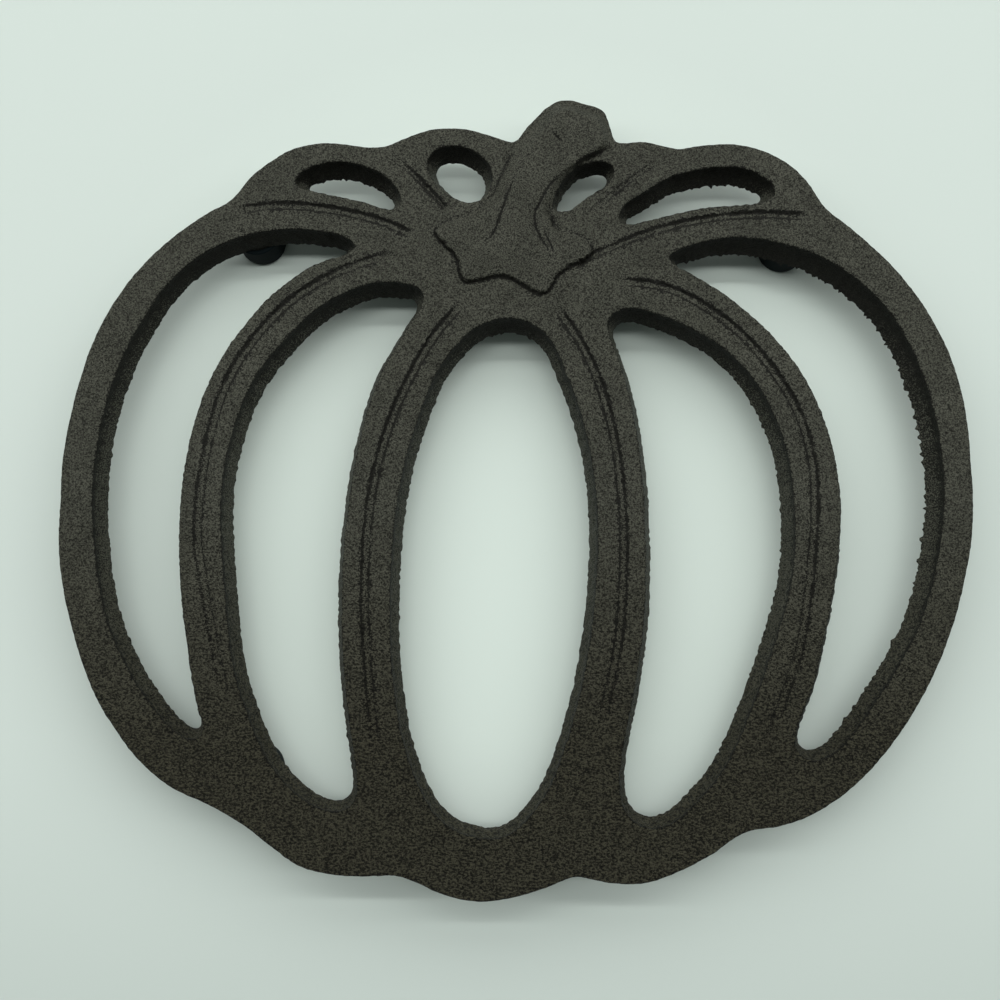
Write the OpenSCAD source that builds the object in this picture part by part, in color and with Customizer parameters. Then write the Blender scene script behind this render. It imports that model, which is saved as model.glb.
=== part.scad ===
// A pumpkin-shaped trivet: one iron casting that stands on four push-on rubber foot caps.
// The origin is on the table under the middle of the plate, and +Y points towards the stem.

/* [Plate] */
// Width of the plate's top face
plate_w = 210; // [190:1:240]
// Depth of the plate's top face, from the lowest lobe to the tip of the stem
plate_d = 186; // [168:1:212]
// Thickness of the plate
plate_t = 5.3; // [4:0.1:7]
// How far the walls lean out between the top edge and the underside
draft = 1.6; // [0.4:0.1:2]
// Width of the worn bevel along the top edges
edge_w = 0.5; // [0.2:0.1:0.8]

/* [Rib lines] */
// Width of the shallow line that runs along each rib
line_w = 2.2; // [1.2:0.1:2.6]
// Depth of the line
line_depth = 0.5; // [0.3:0.05:0.8]

/* [Collar and stem] */
// Height of the star-shaped collar above the top face
collar_h = 0.9; // [0.5:0.1:1.5]
// Width of the sloping edge round the collar
collar_edge = 0.9; // [0.5:0.1:1.4]
// Height of the stem above the top face
stem_h = 2.1; // [1.6:0.1:3.5]
// Width of the rounding along the stem's sides
stem_edge = 2.2; // [1.5:0.1:3]

/* [Feet] */
// Diameter of the pegs cast under the plate
peg_d = 8.8; // [7:0.1:10]
// Length of the pegs below the plate
peg_h = 6.5; // [4:0.1:10]
// Thickness of a cap's wall round its peg
cap_wall = 1.3; // [0.8:0.1:2]
// Thickness of a cap's floor under its peg
cap_floor = 1.6; // [1:0.1:3]
// Radius of the rounding under a cap
cap_round = 1.2; // [0.4:0.1:1.5]
// Clearance across the diameter between a peg and its cap's bore
cap_fit = 0.05; // [0:0.01:0.2]

/* [Hidden] */

// Heights above the table
under_z = cap_floor + peg_h;
top_z = under_z + plate_t;

// How far cuts run past the faces that they open, and how far joined forms sink into each other
overrun = 1;

cap_d = peg_d + cap_fit + 2 * cap_wall;
// Share of the half gap at a narrow end that a wall's lean may take up, and the points in from
// the end where that gap is measured
lean_share = 0.6;
end_points = 2;
// Steps of a rounded edge: shares of its width and of its height
round_shares = [[0, 0], [0.1, 0.4], [0.3, 0.75], [0.6, 0.95], [1, 1]];
// Share of a raised form's length that stays level, and where the stem's base dips into the collar
level_share = 0.4;
sink_share = 0.8;
// Samples along one span of a curve, and facets round a foot
span_steps = 2;
outline_steps = 2;
round_facets = 96;
arc_steps = 8;

// Every table of shares is in halves of the plate's width and depth, from its middle.
// The outline runs clockwise from the notch on the left of the stem.
outline_shares = [
    [0, 0.887], [0.01, 0.893], [0.031, 0.924], [0.055, 0.954], [0.076, 0.978], [0.105, 0.998],
    [0.13, 1], [0.16, 0.991], [0.2, 0.975], [0.209, 0.963], [0.217, 0.935], [0.228, 0.895],
    [0.235, 0.886], [0.25, 0.882], [0.3, 0.884], [0.345, 0.873], [0.381, 0.865], [0.43, 0.874],
    [0.5, 0.877], [0.545, 0.868], [0.59, 0.848], [0.635, 0.815], [0.672, 0.766], [0.7, 0.713],
    [0.716, 0.692], [0.755, 0.656], [0.808, 0.6], [0.866, 0.528], [0.917, 0.443],
    [0.957, 0.35], [0.983, 0.254], [0.997, 0.15], [1, 0.04], [1, -0.05], [0.991, -0.15],
    [0.971, -0.248], [0.945, -0.342], [0.912, -0.432], [0.872, -0.518], [0.825, -0.598],
    [0.77, -0.674], [0.71, -0.738], [0.64, -0.791], [0.562, -0.825], [0.495, -0.837],
    [0.46, -0.855], [0.414, -0.89], [0.35, -0.927], [0.28, -0.955], [0.205, -0.958],
    [0.16, -0.948], [0.125, -0.943], [0.06, -0.97], [-0.01, -0.992], [-0.08, -1],
    [-0.152, -0.984], [-0.215, -0.953], [-0.25, -0.942], [-0.3, -0.943], [-0.377, -0.941],
    [-0.455, -0.92], [-0.518, -0.872], [-0.58, -0.822], [-0.65, -0.779], [-0.734, -0.737],
    [-0.802, -0.676], [-0.856, -0.603], [-0.903, -0.521], [-0.938, -0.432], [-0.966, -0.338],
    [-0.988, -0.243], [-0.999, -0.145], [-1, -0.045], [-1, 0.053], [-0.99, 0.151],
    [-0.973, 0.249], [-0.95, 0.345], [-0.915, 0.437], [-0.869, 0.521], [-0.812, 0.596],
    [-0.747, 0.66], [-0.69, 0.704], [-0.655, 0.725], [-0.635, 0.746], [-0.6, 0.797],
    [-0.557, 0.838], [-0.504, 0.872], [-0.45, 0.885], [-0.393, 0.883], [-0.331, 0.874],
    [-0.29, 0.878], [-0.25, 0.898], [-0.188, 0.922], [-0.15, 0.925], [-0.1, 0.92],
    [-0.05, 0.902], [-0.01, 0.887]];

// Each opening has one side from its first end to its last, and the other side on the way back
outer_left_shares = [
    [[-0.362, 0.61], [-0.385, 0.634], [-0.43, 0.648], [-0.515, 0.656], [-0.618, 0.637],
    [-0.714, 0.586], [-0.792, 0.501], [-0.848, 0.396], [-0.892, 0.282], [-0.92, 0.152],
    [-0.932, 0.006], [-0.924, -0.14], [-0.891, -0.328], [-0.837, -0.459], [-0.78, -0.552],
    [-0.735, -0.605], [-0.7, -0.628], [-0.676, -0.623]],
    [[-0.669, -0.6], [-0.682, -0.555], [-0.711, -0.394], [-0.727, -0.281], [-0.736, -0.154],
    [-0.735, -0.01], [-0.714, 0.145], [-0.67, 0.29], [-0.605, 0.407], [-0.54, 0.49],
    [-0.45, 0.563], [-0.375, 0.594]]];
mid_left_shares = [
    [[-0.206, 0.478], [-0.217, 0.497], [-0.245, 0.509], [-0.29, 0.513], [-0.347, 0.503],
    [-0.437, 0.45], [-0.521, 0.356], [-0.579, 0.267], [-0.618, 0.158], [-0.64, 0.042],
    [-0.646, -0.05], [-0.643, -0.14], [-0.63, -0.281], [-0.61, -0.442], [-0.573, -0.572],
    [-0.523, -0.685], [-0.466, -0.757], [-0.415, -0.79], [-0.375, -0.797], [-0.348, -0.784]],
    [[-0.337, -0.755], [-0.337, -0.717], [-0.353, -0.604], [-0.371, -0.443], [-0.376, -0.3],
    [-0.375, -0.18], [-0.363, -0.03], [-0.341, 0.12], [-0.302, 0.265], [-0.237, 0.4],
    [-0.208, 0.455]]];
central_shares = [
    [[-0.013, 0.418], [-0.05, 0.411], [-0.085, 0.393], [-0.116, 0.364], [-0.17, 0.283],
    [-0.207, 0.18], [-0.236, 0.073], [-0.257, -0.053], [-0.268, -0.2], [-0.27, -0.31],
    [-0.265, -0.443], [-0.249, -0.58], [-0.219, -0.7], [-0.173, -0.798], [-0.13, -0.838],
    [-0.09, -0.855], [-0.055, -0.86]],
    [[-0.015, -0.852], [0.03, -0.81], [0.075, -0.735], [0.114, -0.62], [0.146, -0.49],
    [0.168, -0.346], [0.179, -0.22], [0.182, -0.12], [0.178, -0.02], [0.165, 0.083],
    [0.14, 0.199], [0.103, 0.311], [0.083, 0.358], [0.055, 0.392], [0.022, 0.412]]];
mid_right_shares = [
    [[0.21, 0.398], [0.217, 0.421], [0.238, 0.437], [0.27, 0.442], [0.326, 0.425],
    [0.407, 0.383], [0.475, 0.33], [0.535, 0.253], [0.577, 0.16], [0.602, 0.066],
    [0.612, -0.05], [0.61, -0.171], [0.596, -0.27], [0.569, -0.368], [0.532, -0.483],
    [0.493, -0.588], [0.446, -0.693], [0.386, -0.772], [0.335, -0.822], [0.286, -0.835],
    [0.25, -0.818]],
    [[0.228, -0.78], [0.223, -0.72], [0.231, -0.65], [0.243, -0.588], [0.264, -0.467],
    [0.279, -0.36], [0.286, -0.25], [0.287, -0.15], [0.284, -0.02], [0.275, 0.097],
    [0.259, 0.205], [0.237, 0.3], [0.218, 0.362]]];
outer_right_shares = [
    [[0.351, 0.573], [0.36, 0.588], [0.387, 0.603], [0.443, 0.62], [0.502, 0.628],
    [0.57, 0.621], [0.637, 0.602], [0.715, 0.563], [0.782, 0.506], [0.84, 0.433],
    [0.884, 0.341], [0.914, 0.242], [0.932, 0.15], [0.941, 0.028], [0.938, -0.072],
    [0.921, -0.179], [0.896, -0.286], [0.854, -0.394], [0.8, -0.491], [0.743, -0.58],
    [0.686, -0.653], [0.643, -0.677], [0.615, -0.67]],
    [[0.6, -0.648], [0.6, -0.61], [0.62, -0.55], [0.64, -0.499], [0.665, -0.394],
    [0.69, -0.28], [0.708, -0.15], [0.714, -0.03], [0.698, 0.104], [0.67, 0.204],
    [0.626, 0.3], [0.568, 0.384], [0.487, 0.468], [0.41, 0.527], [0.367, 0.555]]];
upper_left_shares = [
    [[-0.501, 0.786], [-0.489, 0.807], [-0.445, 0.832], [-0.395, 0.837], [-0.337, 0.822],
    [-0.289, 0.792], [-0.264, 0.755], [-0.262, 0.722]],
    [[-0.282, 0.709], [-0.337, 0.726], [-0.398, 0.744], [-0.452, 0.756], [-0.489, 0.769]]];
upper_right_shares = [
    [[0.24, 0.68], [0.254, 0.717], [0.302, 0.753], [0.355, 0.79], [0.409, 0.808],
    [0.463, 0.818], [0.51, 0.817], [0.555, 0.801], [0.592, 0.765], [0.592, 0.743]],
    [[0.562, 0.722], [0.5, 0.715], [0.43, 0.708], [0.37, 0.694], [0.307, 0.676],
    [0.262, 0.666]]];
oval_shares = [
    [[-0.197, 0.838], [-0.18, 0.868], [-0.143, 0.88], [-0.094, 0.865], [-0.061, 0.834],
    [-0.05, 0.8], [-0.054, 0.765], [-0.073, 0.736]],
    [[-0.106, 0.727], [-0.149, 0.748], [-0.175, 0.776], [-0.193, 0.808]]];
slot_shares = [
    [[0.082, 0.72], [0.09, 0.75], [0.12, 0.811], [0.15, 0.834], [0.185, 0.841],
    [0.213, 0.834], [0.226, 0.812], [0.219, 0.79]],
    [[0.203, 0.772], [0.163, 0.735], [0.13, 0.708], [0.1, 0.704]]];
opening_shares = [outer_left_shares, mid_left_shares, central_shares, mid_right_shares,
    outer_right_shares, upper_left_shares, upper_right_shares, oval_shares, slot_shares];

collar_shares = [
    [[-0.03, 0.76], [-0.07, 0.712], [-0.12, 0.697], [-0.163, 0.683], [-0.182, 0.664],
    [-0.177, 0.643], [-0.153, 0.613], [-0.137, 0.585], [-0.124, 0.55], [-0.115, 0.515],
    [-0.095, 0.51], [-0.055, 0.525], [-0.015, 0.525], [0.012, 0.512]],
    [[0.035, 0.489], [0.06, 0.479], [0.085, 0.49], [0.095, 0.53], [0.125, 0.556],
    [0.16, 0.571], [0.178, 0.593], [0.165, 0.626], [0.13, 0.653], [0.098, 0.665],
    [0.085, 0.695], [0.072, 0.745]]];
collar_hub_share = [0, 0.6];
stem_shares = [
    [[0.135, 0.989], [0.108, 0.986], [0.082, 0.965], [0.06, 0.94], [0.035, 0.912],
    [0.01, 0.883], [-0.008, 0.845], [-0.018, 0.79], [-0.028, 0.725], [-0.043, 0.663],
    [-0.064, 0.62], [-0.06, 0.585], [-0.02, 0.562], [0.02, 0.556]],
    [[0.065, 0.556], [0.088, 0.572], [0.082, 0.6], [0.066, 0.635], [0.053, 0.68],
    [0.052, 0.72], [0.065, 0.757], [0.093, 0.793], [0.135, 0.838], [0.17, 0.857],
    [0.212, 0.883], [0.21, 0.925], [0.197, 0.962], [0.165, 0.981]]];

// The rib lines, each from one end to the other
line_shares = [
    [[-0.635, 0.707], [-0.546, 0.72], [-0.431, 0.711], [-0.307, 0.678], [-0.227, 0.637]],
    [[-0.247, 0.589], [-0.306, 0.579], [-0.428, 0.524], [-0.534, 0.434], [-0.638, 0.265],
    [-0.685, 0.06], [-0.696, -0.139], [-0.68, -0.24], [-0.653, -0.392], [-0.62, -0.546]],
    [[-0.106, 0.472], [-0.186, 0.36], [-0.269, 0.168], [-0.313, -0.022], [-0.327, -0.25],
    [-0.318, -0.44], [-0.298, -0.655]],
    [[0.088, 0.463], [0.167, 0.314], [0.214, 0.15], [0.235, -0.023], [0.239, -0.17],
    [0.225, -0.392], [0.182, -0.607]],
    [[0.212, 0.51], [0.28, 0.51], [0.367, 0.486], [0.501, 0.383], [0.614, 0.209],
    [0.655, 0.06], [0.657, -0.09], [0.65, -0.165], [0.618, -0.392], [0.587, -0.497],
    [0.534, -0.642]],
    [[0.115, 0.543], [0.17, 0.577], [0.3, 0.64], [0.43, 0.677], [0.561, 0.69], [0.676, 0.683]],
    [[-0.282, 0.855], [-0.249, 0.824], [-0.215, 0.786], [-0.175, 0.737], [-0.152, 0.707]],
    [[0.323, 0.829], [0.275, 0.791], [0.219, 0.74], [0.173, 0.7]]];
// Share of a line's length over which it fades in, and its least strength at the tips
fade_share = 0.18;
tip_share = 0.25;

// Middles of the feet: rear left, rear right, front left, front right
foot_shares = [[-0.6, 0.672], [0.634, 0.645], [-0.57, -0.712], [0.56, -0.742]];

function place(share) = [share[0] * plate_w / 2, share[1] * plate_d / 2];
function places(shares) = [for (share = shares) place(share)];

// A point of the smooth curve through p at u, counted in spans. The curve closes on itself.
function curve(p, u) = let (
    n = len(p), i = floor(u), t = u - i,
    a = p[(i - 1 + n) % n], b = p[i % n], c = p[(i + 1) % n], d = p[(i + 2) % n],
    e = sqrt(norm(b - a)), f = sqrt(norm(c - b)), g = sqrt(norm(d - c)),
    m = c - b + f * ((b - a) / e - (c - a) / (e + f)),
    k = c - b + f * ((d - c) / g - (d - b) / (f + g)))
    b + t * (m + t * (3 * (c - b) - 2 * m - k + t * (2 * (b - c) + m + k)));

// A ring counter-clockwise from above that keeps its first point
function area(r) = let (n = len(r))
    [for (i = [0 : n - 1]) cross(r[i], r[(i + 1) % n])] * [for (i = [1 : n]) 1 / 2];
function counter(r) = let (n = len(r)) area(r) > 0 ? r : [for (i = [0 : n - 1]) r[(n - i) % n]];

// The ring of a two-sided form. Point i lies across from point n - i.
function form_ring(form) = let (
    p = places(concat(form[0], form[1])), there = len(form[0]) - 1, back = len(form[1]) + 1,
    half = span_steps * max(there, back))
    counter([for (i = [0 : 2 * half - 1]) curve(p, i < half ? i / half * there
        : there + (i - half) / half * back)]);

function outline_ring() = let (p = places(outline_shares), n = len(p) * outline_steps)
    counter([for (i = [0 : n - 1]) curve(p, i / outline_steps)]);

// Outward direction of a ring at point i
function outward(r, i) = let (
    n = len(r), d = r[(i + 1) % n] - r[(i - 1 + n) % n]) [d[1], -d[0]] / norm(d);

// Half of the gap across a two-sided ring at point i
function half_gap(r, i) = let (n = len(r), k = max(end_points, min(i, n - i, n / 2 - end_points)))
    norm(r[k] - r[n - k]) / 2;

function grown(r, w) = [for (i = [0 : len(r) - 1]) r[i] + w * outward(r, i)];
function shrunk(r, w) = [for (i = [0 : len(r) - 1])
    r[i] - min(w, lean_share * half_gap(r, i)) * outward(r, i)];
function spread(r, w) = [for (p = r) p + w * p / norm(p)];
function lifted(r, z) = [for (p = r) [p[0], p[1], z]];

// Cap triangles of a ring of n points: a strip between its two sides, or a fan round point hub
function strip(n) = [for (k = [0 : n / 2 - 1]) each
    [if (k < n / 2 - 1) [k, k + 1, n - k - 1], if (k > 0) [k, n - k - 1, n - k]]];
function fan(n, hub) = [for (k = [0 : n - 1]) [hub, k, (k + 1) % n]];

function flip(f) = [f[2], f[1], f[0]];
function moved(f, n) = [for (i = f) i + n];

// A closed solid through rings of equal count, from the lowest up, with hubs for fanned caps
module loft(rings, hubs = []) {
    n = len(rings[0]);
    levels = len(rings);
    all = n * levels;
    low_cap = hubs == [] ? strip(n) : fan(n, all);
    high_cap = hubs == [] ? [for (f = strip(n)) moved(f, all - n)]
        : [for (k = [0 : n - 1]) [all + 1, all - n + k, all - n + (k + 1) % n]];
    sides = [for (j = [0 : levels - 2], i = [0 : n - 1]) let (
        a = j * n + i, b = j * n + (i + 1) % n) each [[a, a + n, b + n], [a, b + n, b]]];
    polyhedron([for (ring = rings) each ring, each hubs],
        concat(low_cap, sides, [for (f = high_cap) flip(f)]));
}

module plate_body() {
    ring = outline_ring();
    loft([lifted(spread(ring, draft), under_z), lifted(ring, top_z - edge_w),
        lifted(spread(ring, -edge_w), top_z)], [[0, 0, under_z], [0, 0, top_z]]);
}

// A raised form with a rounded edge, tip_h high at its first end and base_h at its last.
// A form that bends in on itself has a hub, a share from which its whole edge is seen.
module relief(form, tip_h, base_h, edge, hub = []) {
    ring = form_ring(form);
    n = len(ring);
    heights = [for (i = [0 : n - 1]) let (s = max(0, (min(i, n - i) * 2 / n - level_share)
        / (1 - level_share))) tip_h + (base_h - tip_h) * s * s * (3 - 2 * s)];
    loft(concat([lifted(ring, top_z - overrun)], [for (q = round_shares)
        let (r = shrunk(ring, q[0] * edge))
            [for (i = [0 : n - 1]) [each r[i], top_z + q[1] * heights[i]]]]),
        hub == [] ? [] : [[each place(hub), top_z - overrun], [each place(hub), top_z + tip_h]]);
}

module opening(form) {
    ring = form_ring(form);
    rise = stem_h + overrun;
    loft([lifted(shrunk(ring, draft), under_z - overrun), lifted(ring, top_z - edge_w),
        lifted(grown(ring, edge_w), top_z), lifted(grown(ring, edge_w + overrun), top_z + rise)]);
}

module rib_line(shares) {
    given = places(shares);
    last = len(given) - 1;
    p = concat([2 * given[0] - given[1]], given, [2 * given[last] - given[last - 1]]);
    n = last * span_steps * 2;
    way = [for (i = [0 : n]) curve(p, 1 + i / n * last)];
    spare = overrun * line_w / line_depth / 4;
    rings = [for (i = [0 : n]) let (
        d = way[min(i + 1, n)] - way[max(i - 1, 0)], side = [d[1], -d[0]] / norm(d),
        strength = max(tip_share, min(1, min(i, n - i) / n / fade_share)),
        floor_w = strength * line_w / 4, top_w = strength * line_w / 2 + spare,
        low = top_z - strength * line_depth, high = top_z + overrun, c = way[i])
        [for (q = [[top_w, high], [floor_w, low], [-floor_w, low], [-top_w, high]])
            [each c + q[0] * side, q[1]]]];
    faces = [for (j = [0 : n - 1], i = [0 : 3]) let (
        a = 4 * j + i, b = 4 * j + (i + 1) % 4) each [[a, a + 4, b + 4], [a, b + 4, b]]];
    polyhedron([for (ring = rings) each ring], concat([[0, 1, 2], [0, 2, 3]], faces,
        [[4 * n + 2, 4 * n + 1, 4 * n], [4 * n + 3, 4 * n + 2, 4 * n]]));
}

module pegs() {
    for (share = foot_shares)
        translate([each place(share), cap_floor])
            cylinder(d = peg_d, h = peg_h + overrun, $fn = round_facets);
}

module foot_cap(index) {
    r = cap_d / 2;
    bore_r = (peg_d + cap_fit) / 2;
    profile = concat([[0, 0]],
        [for (i = [0 : arc_steps]) let (a = 90 * i / arc_steps)
            [r - cap_round + cap_round * sin(a), cap_round - cap_round * cos(a)]],
        [[r, under_z], [bore_r, under_z], [bore_r, cap_floor], [0, cap_floor]]);
    color("#1d2629") translate(place(foot_shares[index]))
        rotate_extrude($fn = round_facets) polygon(profile);
}

module iron_casting() {
    color("#3a3835") {
        // The spread of the underside is set to its exact width
        resize([plate_w + 2 * draft, 0, 0]) difference() {
            union() {
                difference() {
                    plate_body();
                    for (shares = line_shares) rib_line(shares);
                }
                relief(collar_shares, collar_h, collar_h, collar_edge, collar_hub_share);
                relief(stem_shares, stem_h, collar_h * sink_share, stem_edge);
            }
            for (form = opening_shares) opening(form);
        }
        pegs();
    }
}

module foot_cap_rear_left() foot_cap(0);
module foot_cap_rear_right() foot_cap(1);
module foot_cap_front_left() foot_cap(2);
module foot_cap_front_right() foot_cap(3);

iron_casting();
foot_cap_rear_left();
foot_cap_rear_right();
foot_cap_front_left();
foot_cap_front_right();
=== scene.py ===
import math

import bpy
import numpy as np
from mathutils import Matrix, Vector, geometry, kdtree, noise


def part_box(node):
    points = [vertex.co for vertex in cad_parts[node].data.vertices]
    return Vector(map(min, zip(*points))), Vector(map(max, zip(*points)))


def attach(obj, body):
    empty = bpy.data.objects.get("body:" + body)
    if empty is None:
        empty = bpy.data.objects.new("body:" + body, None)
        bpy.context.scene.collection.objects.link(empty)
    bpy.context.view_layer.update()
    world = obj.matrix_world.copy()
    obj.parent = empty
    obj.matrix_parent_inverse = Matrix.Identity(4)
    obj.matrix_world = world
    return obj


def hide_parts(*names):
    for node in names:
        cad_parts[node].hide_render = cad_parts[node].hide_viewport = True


# A cast trivet in the outline of a pumpkin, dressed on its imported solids.
# +Y points to the stem and the table is at z = 0. Lengths are metres, written as so many mm.
mm = 0.001
tiny = 0.001 * mm

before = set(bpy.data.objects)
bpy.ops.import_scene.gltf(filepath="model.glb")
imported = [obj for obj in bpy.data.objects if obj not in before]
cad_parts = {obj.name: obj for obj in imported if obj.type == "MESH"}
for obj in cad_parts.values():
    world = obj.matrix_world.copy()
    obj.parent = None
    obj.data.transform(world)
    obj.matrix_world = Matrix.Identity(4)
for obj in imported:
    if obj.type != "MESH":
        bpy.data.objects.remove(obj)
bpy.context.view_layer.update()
castLow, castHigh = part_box("iron_casting")
print("frame loaded")

plate = {
    "thickness": 5.3 * mm,
    "spread": 1.6 * mm,        # how much wider the underside is than the top face, as packed
    "grow": 0.35 * mm,         # how far the outline stands outside its table of shares
    "lean": 1.45 * mm,         # how far the openings' walls flare out on their way down
    "rearLean": 0.28 * mm,     # and how much further on their rear walls
    "leanShares": (0.06, 0.28, 0.55, 0.8, 1),  # how far it has flared at even steps down
    "edgeRound": 0.38 * mm,    # rounding of the top edges
    "underRound": 0.25 * mm,   # rounding along the underside
    "roundSteps": 3,           # rows of points over the rounding of a top edge
    "edgeStep": 0.52 * mm,     # mesh spacing along every edge
    "roomyShare": 11 / 12,     # share of that spacing under which points begin to be kept apart
    "crowdedShare": 0.5,       # and under which they are kept apart fully
    "pushStep": 0.08 * mm,     # a wall grows outwards in steps of this length
    "pushRounds": 4,           # smoothing after each step, weak everywhere and stronger where crowded
    "pushEasing": 0.06,
    "crowdEasing": 0.44,
    "faceStep": 0.85 * mm,     # mesh spacing over the top face
    "underStep": 2.4 * mm,     # mesh spacing over the underside
    "ripple": 0.05 * mm,       # height of the unevenness that the sand leaves
    "frontRipple": 0.13 * mm,  # and its height at the front, where the sand was coarser
    "rippleSize": 2 * mm,
    "frontReach": 0.8,         # share of the half depth at which the front's height is reached
    "waver": 0.09 * mm,        # wandering of the hand-moulded edges
    "waverSize": 6 * mm,
    "fray": 0.26 * mm,         # and the finer roughness that the sand leaves along them
    "fraySize": 1.05 * mm,
    "outlineFray": 0.4,        # share of it that the outline has
    "wallShade": 0.12,         # painted shade on the walls
    "leastShade": 0.06,
    "upperShade": 0.3,         # how much more painted shade they get just under the top face
    "facingShade": 0.5,        # and how much more where they face the front, away from the lamps, and less where they face the rear
    "rimShade": 0.12,          # painted shade on the top edge's rounding, and its growth with the slope
    "rimGrowth": 0.37,
    "wallRough": 0.3 * mm,     # lumps on the walls
    "wallRoughSize": 0.9 * mm,
    "flashBase": 0.5,          # share of the flash that stands out between its teeth
    "flashTeeth": 0.7,
    "lightSide": 0.15,         # share of the flash on the sides where it is light
    "tooth": 1.3 * mm,         # length of a tooth of flash along an edge
    "fineTooth": 0.8125 * mm,
    "sharpFrom": 52,           # degrees between faces that shade as a sharp edge
    "seed": 11,
}
halfWidth = castHigh.x - plate["spread"]
halfDepth = castHigh.y - plate["spread"]
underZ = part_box("foot_cap_rear_left")[1].z
topZ = underZ + plate["thickness"]

# Tables of shares are in halves of the top face's width and depth, from its middle.
# The outline runs clockwise from the notch left of the stem.
outline = {"flash": 0, "heavy": (0, 0), "lean": 0.95 * mm, "shares": [
    (0, 0.887), (0.01, 0.893), (0.031, 0.924), (0.055, 0.954), (0.076, 0.978), (0.105, 0.998),
    (0.13, 1), (0.16, 0.991), (0.2, 0.975), (0.209, 0.963), (0.217, 0.935), (0.228, 0.895),
    (0.235, 0.886), (0.25, 0.882), (0.3, 0.884), (0.345, 0.873), (0.381, 0.865), (0.43, 0.874),
    (0.5, 0.877), (0.545, 0.868), (0.59, 0.848), (0.635, 0.815), (0.672, 0.766), (0.7, 0.713),
    (0.716, 0.692), (0.755, 0.656), (0.808, 0.6), (0.866, 0.528), (0.917, 0.443), (0.957, 0.35),
    (0.983, 0.254), (0.997, 0.15), (1, 0.04), (1, -0.05), (0.991, -0.15), (0.971, -0.248),
    (0.945, -0.342), (0.912, -0.432), (0.872, -0.518), (0.825, -0.598), (0.77, -0.674), (0.71, -0.738),
    (0.64, -0.791), (0.562, -0.825), (0.495, -0.837), (0.46, -0.855), (0.414, -0.89), (0.35, -0.927),
    (0.28, -0.955), (0.205, -0.958), (0.16, -0.948), (0.125, -0.943), (0.06, -0.97), (-0.01, -0.992),
    (-0.08, -1), (-0.152, -0.984), (-0.215, -0.953), (-0.25, -0.942), (-0.3, -0.943), (-0.377, -0.941),
    (-0.455, -0.92), (-0.518, -0.872), (-0.58, -0.822), (-0.65, -0.779), (-0.734, -0.737),
    (-0.802, -0.676), (-0.856, -0.603), (-0.903, -0.521), (-0.938, -0.432), (-0.966, -0.338),
    (-0.988, -0.243), (-0.999, -0.145), (-1, -0.045), (-1, 0.053), (-0.99, 0.151), (-0.973, 0.249),
    (-0.95, 0.345), (-0.915, 0.437), (-0.869, 0.521), (-0.812, 0.596), (-0.747, 0.66), (-0.69, 0.704),
    (-0.655, 0.725), (-0.635, 0.746), (-0.6, 0.797), (-0.557, 0.838), (-0.504, 0.872), (-0.45, 0.885),
    (-0.393, 0.883), (-0.331, 0.874), (-0.29, 0.878), (-0.25, 0.898), (-0.188, 0.922), (-0.15, 0.925),
    (-0.1, 0.92), (-0.05, 0.902), (-0.01, 0.887)]}
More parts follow.
